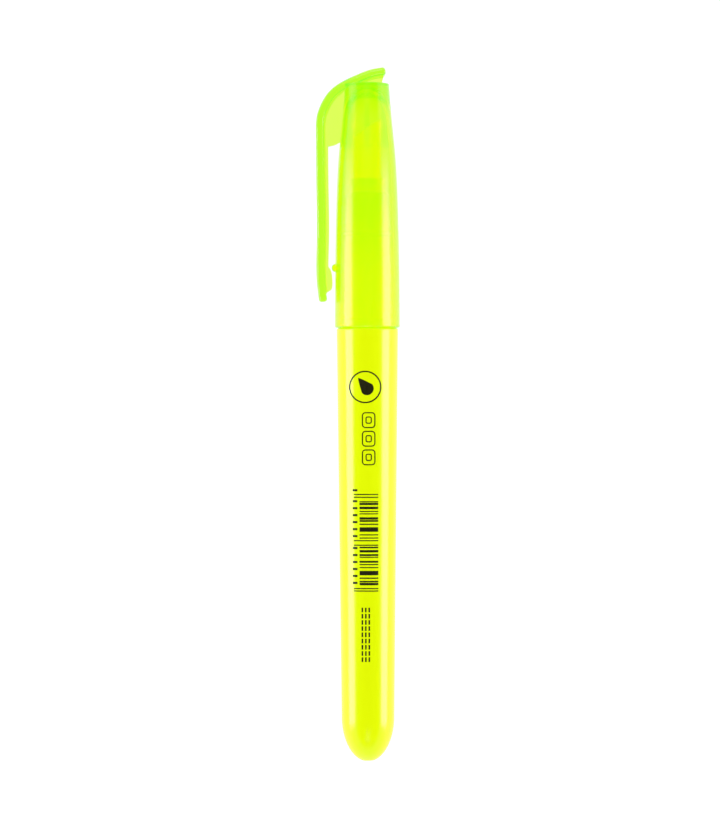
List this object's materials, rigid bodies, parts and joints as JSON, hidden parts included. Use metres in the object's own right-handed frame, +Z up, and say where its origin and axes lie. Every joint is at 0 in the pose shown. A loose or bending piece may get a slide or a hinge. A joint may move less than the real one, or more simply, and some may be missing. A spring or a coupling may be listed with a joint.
{
  "type": "highlighter",
  "caption": "Slim capped highlighter with a chisel nib: closed tapered barrel, translucent push-on cap with a pocket clip that flexes.",
  "frame": {"origin": "on the table, under the pen's axis, midway along the pen's 137 mm length", "axes": "+X along the pen from the cap end towards the tail, +Z up, the pocket clip points to -Y. The pen lies on its side."},
  "size_m": [0.137, 0.0165, 0.0128],
  "materials": {
    "barrel": "glossy fluorescent yellow",
    "cap": "translucent fluorescent yellow-green, glossy",
    "nib_holder": "satin fluorescent yellow",
    "nib": "porous felt soaked with yellow ink",
    "ink_reservoir": "fibre rod soaked with yellow ink",
    "reservoir_film": "thin frosted film"
  },
  "bodies": {
    "pen": {"barrel": "barrel", "nib_holder": "nib_holder", "nib": "nib", "ink_reservoir": "ink_reservoir", "reservoir_film": "reservoir_film"},
    "cap": {"cap": "cap"},
    "clip": {"clip_arm": "cap"}
  },
  "joints": [
    {"name": "cap_slide", "type": "slide", "parent": "pen", "child": "cap", "axis": [-1, 0, 0], "range_m": [0, 0.045]},
    {"name": "clip_flex", "type": "hinge", "parent": "cap", "child": "clip", "pos_m": [-0.0515, -0.00887, 0.00642], "axis": [0, 0, -1], "range_deg": [-1, 5], "stiffness_Nm_per_rad": 0.4}
  ]
}
